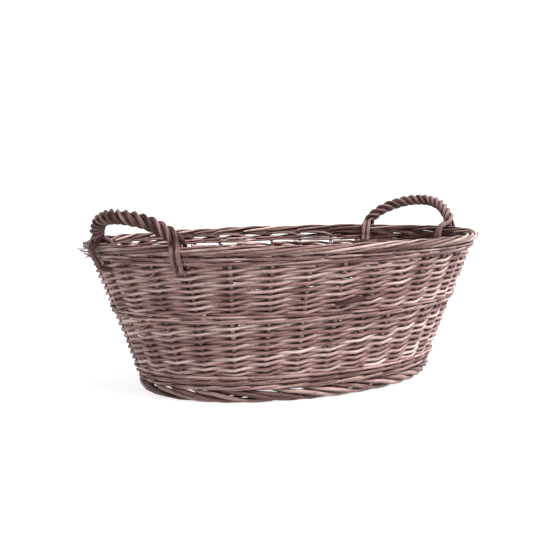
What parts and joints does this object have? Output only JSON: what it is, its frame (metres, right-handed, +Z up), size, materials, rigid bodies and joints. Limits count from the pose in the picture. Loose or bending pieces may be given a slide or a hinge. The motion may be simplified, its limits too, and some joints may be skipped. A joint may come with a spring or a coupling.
{
  "type": "wicker log basket",
  "caption": "Oval wicker log basket with flared woven sides, a rolled rim border, a plaited foot and a roped bow handle at each end.",
  "frame": {"origin": "on the ground, under the middle of the basket", "axes": "+X along the basket's length towards one handle, +Y across it, +Z up"},
  "size_m": [0.6673, 0.493, 0.2492],
  "materials": {
    "base_stick": "satin",
    "base_rod": "satin",
    "stake": "satin",
    "foot_rod": "satin",
    "wale_rod": "satin",
    "siding_rod": "satin",
    "border_rod": "satin",
    "rope_rod": "satin",
    "bow_rod": "satin"
  },
  "bodies": {
    "root": {"base_cross_sticks": "base_stick", "base_long_sticks": "base_stick", "base_weave": "base_rod", "side_stakes": "stake", "foot_pegs": "stake", "foot_border": "foot_rod", "bottom_wale": "wale_rod", "lower_siding": "siding_rod", "middle_wale": "wale_rod", "upper_siding": "siding_rod", "top_wale": "wale_rod", "top_border": "border_rod", "left_handle_bow": "bow_rod", "left_handle_strand_1": "rope_rod", "left_handle_strand_2": "rope_rod", "left_handle_strand_3": "rope_rod", "left_handle_strand_4": "rope_rod", "right_handle_bow": "bow_rod", "right_handle_strand_1": "rope_rod", "right_handle_strand_2": "rope_rod", "right_handle_strand_3": "rope_rod", "right_handle_strand_4": "rope_rod"}
  },
  "joints": []
}
